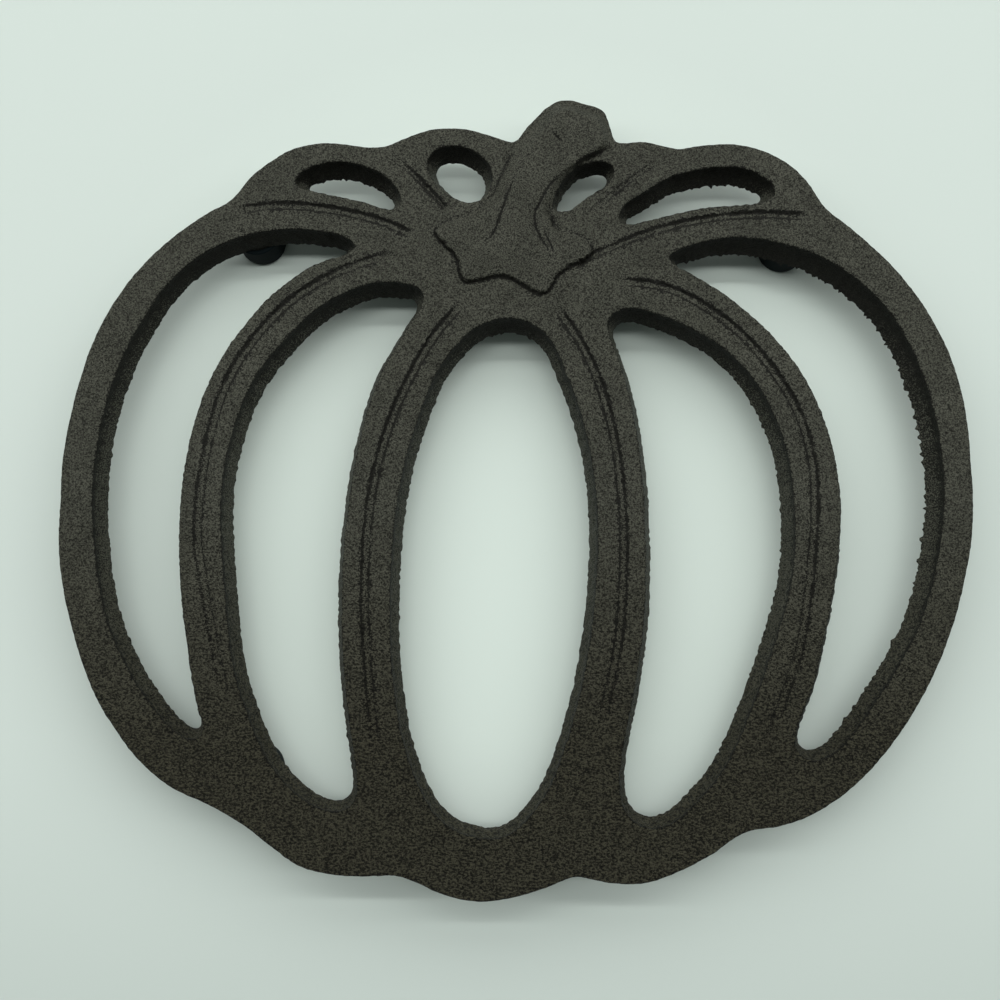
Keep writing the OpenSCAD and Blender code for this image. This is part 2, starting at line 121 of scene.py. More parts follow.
# Each opening, the flash left round its underside, the way in from the side where it is heaviest, and for
# some the extra painted shade on their walls
openings = {
    "outerLeft": {"flash": 0.35 * mm, "heavy": (1, 0), "shade": 0.2, "shares": [
        (-0.362, 0.61), (-0.385, 0.634), (-0.43, 0.648), (-0.515, 0.656), (-0.618, 0.637),
        (-0.714, 0.586), (-0.792, 0.501), (-0.848, 0.396), (-0.892, 0.282), (-0.92, 0.152),
        (-0.932, 0.006), (-0.924, -0.14), (-0.891, -0.328), (-0.837, -0.459), (-0.78, -0.552),
        (-0.735, -0.605), (-0.7, -0.628), (-0.676, -0.623), (-0.669, -0.6), (-0.682, -0.555),
        (-0.711, -0.394), (-0.727, -0.281), (-0.736, -0.154), (-0.735, -0.01), (-0.714, 0.145),
        (-0.67, 0.29), (-0.605, 0.407), (-0.54, 0.49), (-0.45, 0.563), (-0.375, 0.594)]},
    "midLeft": {"flash": 0.6 * mm, "heavy": (0, -1), "shares": [
        (-0.206, 0.478), (-0.217, 0.497), (-0.245, 0.509), (-0.29, 0.513), (-0.347, 0.503),
        (-0.437, 0.45), (-0.521, 0.356), (-0.579, 0.267), (-0.618, 0.158), (-0.64, 0.042),
        (-0.646, -0.05), (-0.643, -0.14), (-0.63, -0.281), (-0.61, -0.442), (-0.573, -0.572),
        (-0.523, -0.685), (-0.466, -0.757), (-0.415, -0.79), (-0.375, -0.797), (-0.348, -0.784),
        (-0.337, -0.755), (-0.337, -0.717), (-0.353, -0.604), (-0.371, -0.443), (-0.376, -0.3),
        (-0.375, -0.18), (-0.363, -0.03), (-0.341, 0.12), (-0.302, 0.265), (-0.237, 0.4),
        (-0.208, 0.455)]},
    "central": {"flash": 0.7 * mm, "heavy": (0, -1), "shares": [
        (-0.013, 0.418), (-0.05, 0.411), (-0.085, 0.393), (-0.116, 0.364), (-0.17, 0.283),
        (-0.207, 0.18), (-0.236, 0.073), (-0.257, -0.053), (-0.268, -0.2), (-0.27, -0.31),
        (-0.265, -0.443), (-0.249, -0.58), (-0.219, -0.7), (-0.173, -0.798), (-0.13, -0.838),
        (-0.09, -0.855), (-0.055, -0.86), (-0.015, -0.852), (0.03, -0.81), (0.075, -0.735),
        (0.114, -0.62), (0.146, -0.49), (0.168, -0.346), (0.179, -0.22), (0.182, -0.12),
        (0.178, -0.02), (0.165, 0.083), (0.14, 0.199), (0.103, 0.311), (0.083, 0.358), (0.055, 0.392),
        (0.022, 0.412)]},
    "midRight": {"flash": 0.7 * mm, "heavy": (-1, 0), "shares": [
        (0.21, 0.398), (0.217, 0.421), (0.238, 0.437), (0.27, 0.442), (0.326, 0.425), (0.407, 0.383),
        (0.475, 0.33), (0.535, 0.253), (0.577, 0.16), (0.602, 0.066), (0.612, -0.05), (0.61, -0.171),
        (0.596, -0.27), (0.569, -0.368), (0.532, -0.483), (0.493, -0.588), (0.446, -0.693),
        (0.386, -0.772), (0.335, -0.822), (0.286, -0.835), (0.25, -0.818), (0.228, -0.78),
        (0.223, -0.72), (0.231, -0.65), (0.243, -0.588), (0.264, -0.467), (0.279, -0.36),
        (0.286, -0.25), (0.287, -0.15), (0.284, -0.02), (0.275, 0.097), (0.259, 0.205), (0.237, 0.3),
        (0.218, 0.362)]},
    "outerRight": {"flash": 1.8 * mm, "heavy": (-0.8, -0.6), "shade": 0.3, "shares": [
        (0.351, 0.573), (0.36, 0.588), (0.387, 0.603), (0.443, 0.62), (0.502, 0.628), (0.57, 0.621),
        (0.637, 0.602), (0.715, 0.563), (0.782, 0.506), (0.84, 0.433), (0.884, 0.341), (0.914, 0.242),
        (0.932, 0.15), (0.941, 0.028), (0.938, -0.072), (0.921, -0.179), (0.896, -0.286),
        (0.854, -0.394), (0.8, -0.491), (0.743, -0.58), (0.686, -0.653), (0.643, -0.677),
        (0.615, -0.67), (0.6, -0.648), (0.6, -0.61), (0.62, -0.55), (0.64, -0.499), (0.665, -0.394),
        (0.69, -0.28), (0.708, -0.15), (0.714, -0.03), (0.698, 0.104), (0.67, 0.204), (0.626, 0.3),
        (0.568, 0.384), (0.487, 0.468), (0.41, 0.527), (0.367, 0.555)]},
    "upperLeft": {"flash": 0.9 * mm, "heavy": (0, -1), "shares": [
        (-0.501, 0.786), (-0.489, 0.807), (-0.445, 0.832), (-0.395, 0.837), (-0.337, 0.822),
        (-0.289, 0.792), (-0.264, 0.755), (-0.262, 0.722), (-0.282, 0.709), (-0.337, 0.726),
        (-0.398, 0.744), (-0.452, 0.756), (-0.489, 0.769)]},
    "upperRight": {"flash": 1.2 * mm, "heavy": (0, -1), "shares": [
        (0.24, 0.68), (0.254, 0.717), (0.302, 0.753), (0.355, 0.79), (0.409, 0.808), (0.463, 0.818),
        (0.51, 0.817), (0.555, 0.801), (0.592, 0.765), (0.592, 0.743), (0.562, 0.722), (0.5, 0.715),
        (0.43, 0.708), (0.37, 0.694), (0.307, 0.676), (0.262, 0.666)]},
    "oval": {"flash": 0.8 * mm, "heavy": (0, -1), "shares": [
        (-0.197, 0.838), (-0.18, 0.868), (-0.143, 0.88), (-0.094, 0.865), (-0.061, 0.834),
        (-0.05, 0.8), (-0.054, 0.765), (-0.073, 0.736), (-0.106, 0.727), (-0.149, 0.748),
        (-0.175, 0.776), (-0.193, 0.808)]},
    "slot": {"flash": 0, "heavy": (0, -1), "lean": 0.9 * mm, "shares": [
        (0.09, 0.715), (0.091, 0.731), (0.099, 0.755), (0.11, 0.777), (0.126, 0.8), (0.145, 0.819),
        (0.161, 0.828), (0.177, 0.832), (0.193, 0.835), (0.209, 0.834), (0.223, 0.825), (0.229, 0.81),
        (0.226, 0.794), (0.216, 0.777), (0.204, 0.765), (0.189, 0.755), (0.167, 0.737), (0.144, 0.717),
        (0.128, 0.704), (0.113, 0.701), (0.098, 0.704)]},
}
# The collar's edge is steep towards the front and runs out softly towards the stem
collar = {
    "height": 0.9 * mm,
    "steepEdge": 0.6 * mm,
    "softEdge": 2.2 * mm,
    "softStart": 0.15,         # how far the edge has turned to the rear where it begins to soften
    "footDip": 0.22 * mm,      # fine groove along the foot of the steep edge
    "footIn": 0.05 * mm,
    "footWide": 0.4 * mm,
    "softFoot": 0.6,           # share of the groove that is lost along the soft edge
    "shares": [
        (-0.06, 0.738), (-0.081, 0.711), (-0.106, 0.694), (-0.156, 0.675), (-0.175, 0.661),
        (-0.18, 0.642), (-0.172, 0.626), (-0.145, 0.595), (-0.133, 0.578), (-0.127, 0.554),
        (-0.122, 0.53), (-0.114, 0.514), (-0.099, 0.511), (-0.076, 0.515), (-0.031, 0.526),
        (-0.009, 0.52), (0.014, 0.507), (0.036, 0.49), (0.059, 0.479), (0.077, 0.486),
        (0.089, 0.503), (0.097, 0.523), (0.111, 0.538), (0.145, 0.562), (0.165, 0.572),
        (0.178, 0.587), (0.177, 0.606), (0.168, 0.623), (0.15, 0.638), (0.107, 0.65), (0.091, 0.665),
        (0.085, 0.691), (0.06, 0.716), (0.014, 0.738), (-0.025, 0.749)],
}
# The stem has a flat top face that flows into the collar, and a facet down each side to its foot
stem = {
    "riseAtShares": (0.5, 0.6, 0.7, 0.85),
    "rises": (0.92 * mm, 1.12 * mm, 1.5 * mm, 1.88 * mm),
    "crown": 0.12 * mm,
    "crownEdge": 3 * mm,
    "footShares": [
        (0.107, 0.995), (0.089, 0.989), (0.075, 0.972), (0.056, 0.946), (0.017, 0.892),
        (-0.004, 0.866), (-0.027, 0.811), (-0.052, 0.741), (-0.075, 0.696), (-0.095, 0.642),
        (-0.106, 0.584), (-0.099, 0.549), (-0.054, 0.536), (0.014, 0.527), (0.07, 0.527),
        (0.095, 0.564), (0.104, 0.606), (0.096, 0.644), (0.087, 0.671), (0.085, 0.708),
        (0.101, 0.762), (0.129, 0.808), (0.165, 0.835), (0.202, 0.855), (0.218, 0.867),
        (0.227, 0.878), (0.221, 0.902), (0.215, 0.933), (0.208, 0.953), (0.194, 0.964),
        (0.169, 0.976), (0.142, 0.987)],
    "topShares": [
        (0.095, 0.951), (0.081, 0.929), (0.062, 0.9), (0.026, 0.835), (-0.002, 0.777),
        (-0.024, 0.714), (-0.038, 0.656), (-0.049, 0.635), (-0.065, 0.617), (-0.079, 0.594),
        (-0.09, 0.565), (-0.081, 0.538), (-0.031, 0.541), (0.025, 0.522), (0.07, 0.503),
        (0.086, 0.53), (0.088, 0.556), (0.077, 0.595), (0.057, 0.634), (0.048, 0.679),
        (0.053, 0.706), (0.062, 0.724), (0.082, 0.766), (0.112, 0.8), (0.151, 0.83),
        (0.192, 0.862), (0.203, 0.882), (0.199, 0.91), (0.193, 0.933), (0.168, 0.947),
        (0.14, 0.958), (0.115, 0.963)],
}
# Each rib line is a shallow flat groove, as wide as given, with one wall steeper than the other.
# Its strengths are at its start, a fifth along it, three fifths along it and at its end.
ribLines = {
    "depth": 0.62 * mm,
    "steepWall": 0.42 * mm,
    "softWall": 0.6 * mm,
    "fade": 0.06,              # share of a line over which it fades in and out
    "reach": 3,                # how many widths away it has no effect at all
    "fray": 0.5 * mm,          # roughness of its edges
    "fraySize": 0.8 * mm,
    "steepShadeIn": 0.12 * mm,  # the line of painted shade along the steep wall's foot, and its width
    "steepShadeWide": 0.45 * mm,
    "softShade": 0.95,
    "softShadeWide": 0.38 * mm,
    "patchSize": 4 * mm,       # how often a line grows stronger and fainter
    "patchAmount": 0.5,
    "strengthsAt": (0, 0.2, 0.6, 1),
    "step": 0.55 * mm,         # mesh spacing along a line
    "paths": [
        {"wide": 1.8 * mm, "steep": "left", "strengths": (0.7, 1, 1.1, 1), "shares": [
            (-0.635, 0.707), (-0.546, 0.72), (-0.431, 0.711), (-0.307, 0.678), (-0.227, 0.637)]},
        {"wide": 1.9 * mm, "steep": "right", "strengths": (0.4, 1, 0.65, 0.5), "shares": [
            (-0.247, 0.589), (-0.306, 0.579), (-0.428, 0.524), (-0.534, 0.434), (-0.638, 0.265),
            (-0.685, 0.06), (-0.696, -0.139), (-0.68, -0.24), (-0.653, -0.392), (-0.62, -0.546)]},
        {"wide": 1.8 * mm, "steep": "right", "strengths": (1, 1, 0.8, 0.7), "shares": [
            (-0.106, 0.472), (-0.186, 0.36), (-0.269, 0.168), (-0.313, -0.022), (-0.327, -0.25),
            (-0.318, -0.44), (-0.298, -0.655)]},
        {"wide": 1.8 * mm, "steep": "left", "strengths": (1, 1, 0.8, 0.7), "shares": [
            (0.088, 0.463), (0.167, 0.314), (0.214, 0.15), (0.235, -0.023), (0.239, -0.17),
            (0.225, -0.392), (0.182, -0.607)]},
        {"wide": 1.8 * mm, "steep": "left", "strengths": (1, 1.1, 0.8, 0.6), "shares": [
            (0.212, 0.51), (0.28, 0.51), (0.367, 0.486), (0.501, 0.383), (0.614, 0.209), (0.655, 0.06),
            (0.657, -0.09), (0.65, -0.165), (0.618, -0.392), (0.587, -0.497), (0.534, -0.642)]},
        {"wide": 1.6 * mm, "steep": "left", "strengths": (0.9, 0.8, 1, 1), "shares": [
            (0.115, 0.543), (0.17, 0.577), (0.3, 0.64), (0.43, 0.677), (0.561, 0.69), (0.676, 0.683)]},
        {"wide": 1.2 * mm, "steep": "left", "strengths": (0.3, 0.5, 0.9, 1), "shares": [
            (-0.282, 0.855), (-0.249, 0.824), (-0.215, 0.786), (-0.175, 0.737), (-0.152, 0.707)]},
        {"wide": 1.2 * mm, "steep": "left", "strengths": (0.5, 0.6, 0.6, 0.4), "shares": [
            (0.323, 0.829), (0.275, 0.791), (0.219, 0.74), (0.173, 0.7)]},
    ],
}
pegs = {
    "radius": 4.4 * mm,
    "bevel": 0.4 * mm,
    "cover": 0.35 * mm,        # metal left round a peg where it stands near an opening
    "sides": 64,
}
# Fine creases along the stem's ridges and on its tip, with the half width and depth of each, and painted
# shade along them
creaseFade = 0.3               # share of a crease over which it fades in and out
creaseReach = 4                # how many half widths away it has no effect at all
creaseShade = 0.9              # how dark its painted shade is, where it doesn't say so itself
creases = [
    {"half": 0.5 * mm, "depth": 0.25 * mm, "shade": 0.4, "shares": [
        (0.052, 0.868), (0.03, 0.842), (0.013, 0.812), (-0.003, 0.775)]},
    {"half": 0.32 * mm, "depth": 0.4 * mm, "shares": [
        (0.01, 0.804), (-0.013, 0.745), (-0.032, 0.682), (-0.047, 0.638), (-0.067, 0.615),
        (-0.083, 0.586)]},
    {"half": 0.3 * mm, "depth": 0.4 * mm, "shares": [
        (0.126, 0.826), (0.113, 0.806), (0.1, 0.787), (0.082, 0.766), (0.062, 0.724), (0.048, 0.69),
        (0.048, 0.666), (0.057, 0.634), (0.075, 0.598), (0.086, 0.569), (0.088, 0.545)]},
    {"half": 0.2 * mm, "depth": 0.22 * mm, "shares": [(0.064, 0.65), (0.081, 0.615), (0.094, 0.578)]},
    {"half": 0.5 * mm, "depth": 0.3 * mm, "shade": 0.6, "shares": [
        (0.012, 0.89), (0.001, 0.874), (-0.011, 0.844), (-0.025, 0.806), (-0.038, 0.774),
        (-0.05, 0.739), (-0.063, 0.709)]},
    {"half": 1 * mm, "depth": 0.6 * mm, "shade": 0.4, "shares": [
        (0.089, 0.74), (0.084, 0.719), (0.085, 0.695), (0.091, 0.673), (0.105, 0.654), (0.123, 0.642)]},
    {"half": 0.35 * mm, "depth": 0.35 * mm, "shares": [
        (0.13, 0.808), (0.145, 0.825), (0.159, 0.836), (0.175, 0.845), (0.193, 0.854), (0.209, 0.865),
        (0.223, 0.873)]},
    {"half": 0.25 * mm, "depth": 0.3 * mm, "shares": [
        (0.085, 0.915), (0.092, 0.902), (0.103, 0.888), (0.117, 0.877)]},
    {"half": 0.3 * mm, "depth": 0.4 * mm, "shares": [(-0.627, 0.656), (-0.617, 0.648)]},
]
# Rows of mesh points that keep the grooves and raised edges sharp, and how far apart points stay
sharpRows = {
    "steepWall": (-1.4, -0.5, 0.1, 0.7, 1.6),  # in widths of that wall, from its middle outwards
    "softWall": (-0.7, 0, 0.7),
    "crease": (0, -0.9, 0.9, -2, 2),           # in half widths of the crease
    "collar": (-0.6, -0.3, -0.1, 0.1, 0.3, 0.6, 1),  # in mm, from the edge inwards
    "stem": (-0.4, 0, 0.4),
    "gap": 0.19 * mm,
    "borderGap": 0.25 * mm,
    "fieldBorderGap": 0.55,    # shares of the mesh spacing over the face
    "fieldGap": 0.6,
    "underGap": 0.5,
}
capNodes = ["foot_cap_rear_left", "foot_cap_rear_right", "foot_cap_front_left", "foot_cap_front_right"]
pegCentres = [np.array(sum(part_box(node), Vector()).xy) / 2 for node in capNodes]


def addPiece(name, data):
    piece = bpy.data.objects.new(name, data)
    bpy.context.scene.collection.objects.link(piece)
    return piece


def places(shares):
    return np.array(shares) * (halfWidth, halfDepth)


def smoothCurve(points, closed, perSpan=16):
    # the centripetal curve through the points
    if closed:
        a, b, c, d = (np.roll(points, k, 0) for k in (1, 0, -1, -2))
    else:
        ends = np.vstack([2 * points[0] - points[1], points, 2 * points[-1] - points[-2]])
        a, b, c, d = ends[:-3], ends[1:-2], ends[2:-1], ends[3:]
    e, f, g = (np.sqrt(np.linalg.norm(v, axis=1))[:, None] for v in (b - a, c - b, d - c))
    setOff = c - b + f * ((b - a) / e - (c - a) / (e + f))
    arrive = c - b + f * ((d - c) / g - (d - b) / (f + g))
    b, c, setOff, arrive = (v[:, None] for v in (b, c, setOff, arrive))
    t = np.linspace(0, 1, perSpan, endpoint=False)[None, :, None]
    bend = 3 * (c - b) - 2 * setOff - arrive + t * (2 * (b - c) + setOff + arrive)
    way = (b + t * (setOff + t * bend)).reshape(-1, 2)
    return way if closed else np.vstack([way, points[-1]])


def evenSteps(way, step, closed):
    way = np.vstack([way, way[:1]]) if closed else way
    run = np.append(0, np.cumsum(np.linalg.norm(np.diff(way, axis=0), axis=1)))
    count = round(run[-1] / step)
    at = np.linspace(0, run[-1], count + (not closed), endpoint=not closed)
    return np.column_stack([np.interp(at, run, way[:, k]) for k in (0, 1)])


def rightHand(way, closed=True):
    # unit vectors to the right of the way, seen from above
    ahead = np.roll(way, -1, 0) - np.roll(way, 1, 0) if closed else np.gradient(way, axis=0)
    return np.column_stack([ahead[:, 1], -ahead[:, 0]]) / np.linalg.norm(ahead, axis=1)[:, None]


def turned(ring, counter):
    doubleArea = (ring[:, 0] * np.roll(ring[:, 1], -1) - np.roll(ring[:, 0], -1) * ring[:, 1]).sum()
    return ring if (doubleArea > 0) == counter else ring[::-1]


def crowding(ring):
    # 0 where the points keep their full spacing, 1 where they have drawn together
    spacing = np.linalg.norm(np.roll(ring, -1, 0) - np.roll(ring, 1, 0), axis=1) / 2
    short = plate["roomyShare"] - spacing / plate["edgeStep"]
    return np.clip(short / (plate["roomyShare"] - plate["crowdedShare"]), 0, 1)


def pushed(ring, distance):
    # the ring moved to its right in small steps, its points kept apart where it narrows
    steps = max(1, round(distance / plate["pushStep"]))
    for _ in range(steps):
        ring = ring + rightHand(ring) * (distance / steps)
        for _ in range(plate["pushRounds"]):
            weight = (plate["pushEasing"] + plate["crowdEasing"] * crowding(ring))[:, None]
            ring = ring + weight * ((np.roll(ring, 1, 0) + np.roll(ring, -1, 0)) / 2 - ring)
    return ring


def uneven(points, size, shift):
    # smooth seeded noise from about -1 to 1 that changes over that size
    return np.array([noise.noise((x / size + shift, y / size, z / size)) for x, y, z in points])


def flat(points, z=0):
    return np.column_stack([points, np.full(len(points), z)])


def inside(points, rings):
    # whether each point has an odd number of ring crossings to its left
    starts = np.vstack(rings)
    ends = np.vstack([np.roll(ring, -1, 0) for ring in rings])
    result = np.zeros(len(points), bool)
    for y in np.unique(points[:, 1]):
        row = points[:, 1] == y
        cut = (starts[:, 1] > y) != (ends[:, 1] > y)
        share = (y - starts[cut, 1]) / (ends[cut, 1] - starts[cut, 1])
        crossings = np.sort(starts[cut, 0] + share * (ends[cut, 0] - starts[cut, 0]))
        result[row] = np.searchsorted(crossings, points[row, 0]) % 2 == 1
    return result


def nearestOf(places2d):
    tree = kdtree.KDTree(len(places2d))
    for i, (x, y) in enumerate(places2d):
        tree.insert((x, y, 0), i)
    tree.balance()

    def find(points):
        hits = [tree.find((x, y, 0)) for x, y in points]
        return np.array([hit[1] for hit in hits], int), np.array([hit[2] for hit in hits])
    return find


def spaced(points, gap):
    # drops each point that lies closer than the gap to one kept before it
    kept, cells = [], {}
    for i, (x, y) in enumerate(points):
        column, row = math.floor(x / gap), math.floor(y / gap)
        near = [q for a in (-1, 0, 1) for b in (-1, 0, 1) for q in cells.get((column + a, row + b), ())]
        if all(math.hypot(x - q[0], y - q[1]) >= gap for q in near):
            cells.setdefault((column, row), []).append((x, y))
            kept.append(i)
    return points[kept]


def hexGrid(step):
    rowStep = step * math.sqrt(3) / 2
    rows = np.arange(-halfDepth, halfDepth, rowStep)
    columns = np.arange(-halfWidth, halfWidth, step)
    return np.vstack([np.column_stack([columns + step / 2 * (k % 2), np.full(len(columns), y)])
                      for k, y in enumerate(rows)])


def easedStep(t):
    t = np.clip(t, 0, 1)
    return t * t * (3 - 2 * t)


# The raised forms and the grooves of the top face

formStep = 0.25 * mm


def formEdge(shares):
    ring = turned(evenSteps(smoothCurve(places(shares), True), formStep, True), True)
    return {"ring": ring, "right": rightHand(ring), "find": nearestOf(ring)}


def depthInside(edge, points):
    # distance inside a form's edge, negative outside it
    index, distance = edge["find"](points)
    beyond = ((points - edge["ring"][index]) * edge["right"][index]).sum(1) > 0
    return np.where(beyond, -distance, distance)


def groovePath(shares):
    way = evenSteps(smoothCurve(places(shares), False), formStep, False)
    return {"way": way, "right": rightHand(way, False), "find": nearestOf(way)}


def alongAndAcross(path, points):
    # the share of the path passed at each point, its distance to the right, and its distance
    index, distance = path["find"](points)
    along = index / (len(path["way"]) - 1)
    return along, ((points - path["way"][index]) * path["right"][index]).sum(1), distance


def fading(along, fade):
    return easedStep(np.minimum(along, 1 - along) / fade)


def bell(distance, wide):
    return np.exp(-(distance / wide) ** 2)


collarEdge = formEdge(collar["shares"])
stemFoot = formEdge(stem["footShares"])
stemTop = formEdge(stem["topShares"])
ribPaths = [(groovePath(line["shares"]), line) for line in ribLines["paths"]]
creasePaths = [(groovePath(line["shares"]), line) for line in creases]


def ribGroove(path, line, points):
    # how deep each point lies in the groove, and how much of its walls' shade it takes
    along, across, distance = alongAndAcross(path, points)
    near = distance < ribLines["reach"] * line["wide"]
    across = across + ribLines["fray"] * uneven(flat(points), ribLines["fraySize"], plate["seed"])
    if line["steep"] == "right":
        across = -across       # from here on the steep wall is at the left, the negative side
    edge = line["wide"] / 2
    depth = np.minimum(easedStep((across + edge) / ribLines["steepWall"] + 0.5),
                       easedStep((edge - across) / ribLines["softWall"] + 0.5))
    steepShade = bell(across + edge - ribLines["steepShadeIn"], ribLines["steepShadeWide"])
    softShade = ribLines["softShade"] * bell(across - edge, ribLines["softShadeWide"])
    shade = np.maximum(steepShade, softShade)
    patches = uneven(flat(points), ribLines["patchSize"], plate["seed"] + 4)
    strength = 1 + ribLines["patchAmount"] * patches
    strength = strength * np.interp(along, ribLines["strengthsAt"], line["strengths"])
    strength = np.clip(strength, 0, 1) * fading(along, ribLines["fade"]) * near
    return ribLines["depth"] * strength * depth, strength * shade


def topForm(points):
    # height of the top face above its flat level, and from 0 to 1 the painted shade in its grooves, creases
    # and along the collar's foot
    height, hollow = np.zeros(len(points)), np.zeros(len(points))
    for path, line in ribPaths:
        depth, shade = ribGroove(path, line, points)
        height -= depth
        hollow = np.maximum(hollow, shade)
    index, distance = collarEdge["find"](points)
    depth = depthInside(collarEdge, points)
    depth = depth + ribLines["fray"] * uneven(flat(points), ribLines["fraySize"], plate["seed"] + 3)
    softness = np.clip(2 * (collarEdge["right"][index, 1] - collar["softStart"]), 0, 1)
    width = collar["steepEdge"] + (collar["softEdge"] - collar["steepEdge"]) * softness
    inCollar = easedStep(depth / width)
    foot = (1 - collar["softFoot"] * softness) * bell(depth - collar["footIn"], collar["footWide"])
    within = np.maximum(0, depthInside(stemFoot, points))
    beyond = np.maximum(0, -depthInside(stemTop, points))
    facet = within / (within + beyond + tiny)
    rise = np.interp(points[:, 1] / halfDepth, stem["riseAtShares"], stem["rises"])
    rise = rise + stem["crown"] * easedStep(depthInside(stemTop, points) / stem["crownEdge"])
    bare = (1 - inCollar) * (within == 0)
    height = height * bare + np.maximum(collar["height"] * inCollar, rise * facet)
    onStem = facet * rise > collar["height"] * inCollar
    height -= collar["footDip"] * foot * ~onStem
    hollow = np.maximum(hollow * bare, foot * ~onStem)
    for path, line in creasePaths:
        along, across, distance = alongAndAcross(path, points)
        near = distance < creaseReach * line["half"]
        dip = fading(along, creaseFade) * near * bell(across, line["half"])
        height -= line["depth"] * dip
        hollow = np.maximum(hollow, line.get("shade", creaseShade) * dip)
    return height, hollow


def topSurface(points):
    front = np.clip(-points[:, 1] / halfDepth / plate["frontReach"], 0, 1)
    ripple = plate["ripple"] + (plate["frontRipple"] - plate["ripple"]) * front
    ripple = ripple * uneven(flat(points), plate["rippleSize"], plate["seed"])
    height, hollow = topForm(points)
    return topZ + height + ripple, hollow


# The edges: the outline and every opening, each with its metal on the left

def makeEdge(form, isOutline=False):
    ring = evenSteps(smoothCurve(places(form["shares"]), True), plate["edgeStep"], True)
    ring = turned(ring, isOutline)
    grow = plate["grow"] * isOutline
    waver = plate["waver"] * uneven(flat(ring), plate["waverSize"], plate["seed"])
    fray = plate["fray"] * (plate["outlineFray"] if isOutline else 1)
    fray = fray * uneven(flat(ring), plate["fraySize"], plate["seed"])
    ring = ring + rightHand(ring) * (grow + waver + fray)[:, None]
    teeth = np.maximum(0, uneven(flat(ring), plate["tooth"], plate["seed"] + 1))
    fineTeeth = np.maximum(0, uneven(flat(ring), plate["fineTooth"], plate["seed"] + 2))
    heavy = np.clip(rightHand(ring) @ np.array(form["heavy"]), 0, 1)
    side = plate["lightSide"] + (1 - plate["lightSide"]) * heavy
    flash = form["flash"] * side * (plate["flashBase"] + plate["flashTeeth"] * (teeth + fineTeeth))
    further = plate["rearLean"] * np.maximum(0, -rightHand(ring)[:, 1]) * (not isOutline)
    return {"ring": ring, "lean": form.get("lean", plate["lean"]), "flash": further + flash,
            "shade": form.get("shade", plate["wallShade"])}


def clearOfPegs(ring, share):
    # the wall swells round a peg that stands at its foot
    for centre in pegCentres:
        away = ring - centre
        gap = np.linalg.norm(away, axis=1)
        short = np.maximum(0, pegs["radius"] + pegs["cover"] - gap)
        ring = ring + away * (share * short / gap)[:, None]
    return ring


def wallRows(edge):
    # rows of points from the top face down to the underside, each with its painted shade
    ring = edge["ring"]
    away = rightHand(ring)
    rows, shades = [], []
    for angle in np.linspace(0, math.pi / 2, plate["roundSteps"]):
        inner = ring - away * plate["edgeRound"] * (1 - math.sin(angle))
        z, hollow = topSurface(inner)
        rows.append(np.column_stack([inner, z - plate["edgeRound"] * (1 - math.cos(angle))]))
        shades.append(np.maximum(hollow, plate["rimShade"] + plate["rimGrowth"] * angle))
    top = rows[-1][:, 2]
    bottom = underZ + plate["underRound"]
    reached = 0
    wall = ring
    levels = np.linspace(0, 1, len(plate["leanShares"]) + 1)[1:]
    for level, share in zip(levels, plate["leanShares"]):
        wall = pushed(wall, edge["lean"] * (share - reached))
        reached = share
        away = rightHand(wall)
        roomy = 1 - crowding(wall)
        z = top + (bottom - top) * level
        lumps = uneven(np.column_stack([wall, z]), plate["wallRoughSize"], plate["seed"])
        out = (plate["wallRough"] * lumps + edge["flash"] * share ** 3) * roomy
        rows.append(np.column_stack([clearOfPegs(wall + away * out[:, None], share), z]))
        shade = edge["shade"] + plate["upperShade"] * (1 - share) ** 3
        shades.append(np.maximum(plate["leastShade"], shade - plate["facingShade"] * away[:, 1]))
    last = rows[-1][:, :2]
    inner = clearOfPegs(last - rightHand(last) * plate["underRound"] * roomy[:, None], 1)
    rows.append(np.column_stack([inner, np.full(len(ring), underZ)]))
    shades.append(shades[-1])
    return rows, shades


def fillBetween(rings, inner):
    # triangles over the first ring less the other rings, counter-clockwise from above
    points = np.vstack(rings + [inner]) / mm
    ringOf = np.concatenate([np.full(len(ring), k) for k, ring in enumerate(rings + [inner])])
    borders, start = [], 0
    for ring in rings:
        borders += [(start + i, start + (i + 1) % len(ring)) for i in range(len(ring))]
        start += len(ring)
    found = geometry.delaunay_2d_cdt([Vector(p) for p in points], borders, [], 1, 1e-6, True)
    faces = np.array(found[2])
    owner = ringOf[faces]
    kept = np.ones(len(faces), bool)
    for k, ring in enumerate(rings):
        suspects = np.flatnonzero((owner == k).all(1))
        within = inside(points[faces[suspects]].mean(1), [ring / mm])
        kept[suspects] = within if k == 0 else ~within
    return faces[kept]


def featurePoints():
    # rows of points along the grooves and the raised edges, so that they come out sharp
    rows = []
    for path, line in ribPaths:
        way = evenSteps(path["way"], ribLines["step"], False)
        toSteep = rightHand(way, False) * (1 if line["steep"] == "right" else -1)
        steep = [line["wide"] / 2 + k * ribLines["steepWall"] for k in sharpRows["steepWall"]]
        soft = [-line["wide"] / 2 + k * ribLines["softWall"] for k in sharpRows["softWall"]]
        rows += [way + toSteep * offset for offset in steep + soft + [0]]
    for path, line in creasePaths:
        way = evenSteps(path["way"], ribLines["step"], False)
        right = rightHand(way, False)
        rows += [way + right * offset * line["half"] for offset in sharpRows["crease"]]
    for edge, offsets in ((collarEdge, sharpRows["collar"]), (stemTop, sharpRows["stem"]),
                          (stemFoot, sharpRows["stem"])):
        ring = evenSteps(edge["ring"], ribLines["step"], True)
        right = rightHand(ring)
        rows += [ring - right * offset * mm for offset in offsets]
    return spaced(np.vstack(rows), sharpRows["gap"])


def clearOf(points, others, gap):
    return points[nearestOf(others)(points)[1] >= gap]


def quadBand(upper, lower, count):
    # faces between two closed rows of points, given the number of each row's first point
    turn = np.arange(count)
    after = (turn + 1) % count
    return np.column_stack([upper + turn, lower + turn, lower + after, upper + after])


